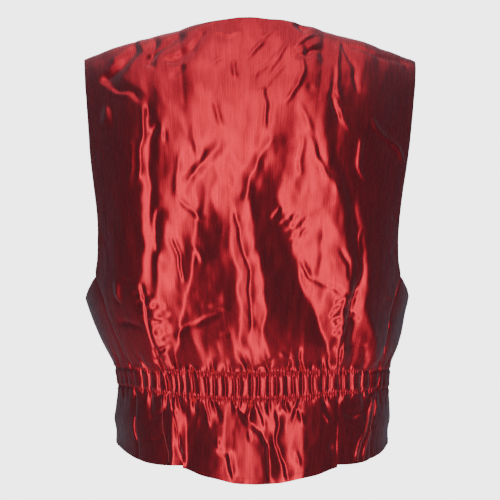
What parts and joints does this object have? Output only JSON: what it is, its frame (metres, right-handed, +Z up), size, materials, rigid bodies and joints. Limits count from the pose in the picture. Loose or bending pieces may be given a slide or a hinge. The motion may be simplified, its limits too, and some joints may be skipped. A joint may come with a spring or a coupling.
{
  "type": "vest",
  "caption": "Sleeveless vest filled out as when worn: V-neck buttoned front, and a darted back drawn in at the waist by an elastic casing above a short skirt.",
  "frame": {"origin": "midway between the neck points of the two shoulder seams, level with them, where the wearer's shoulders hold the vest up", "axes": "+Z up, -Y towards the buttoned front, +Y towards the gathered back, +X towards the wearer's left"},
  "size_m": [0.41, 0.2555, 0.5594],
  "materials": {
    "taffeta": "shot taffeta, coral over plum, with a soft sheen",
    "resin": "dark, slightly glossy"
  },
  "bodies": {
    "root": {"back": "taffeta", "front_left": "taffeta", "front_right": "taffeta", "button_1": "resin", "button_2": "resin", "button_3": "resin", "button_4": "resin", "button_5": "resin"}
  },
  "joints": []
}
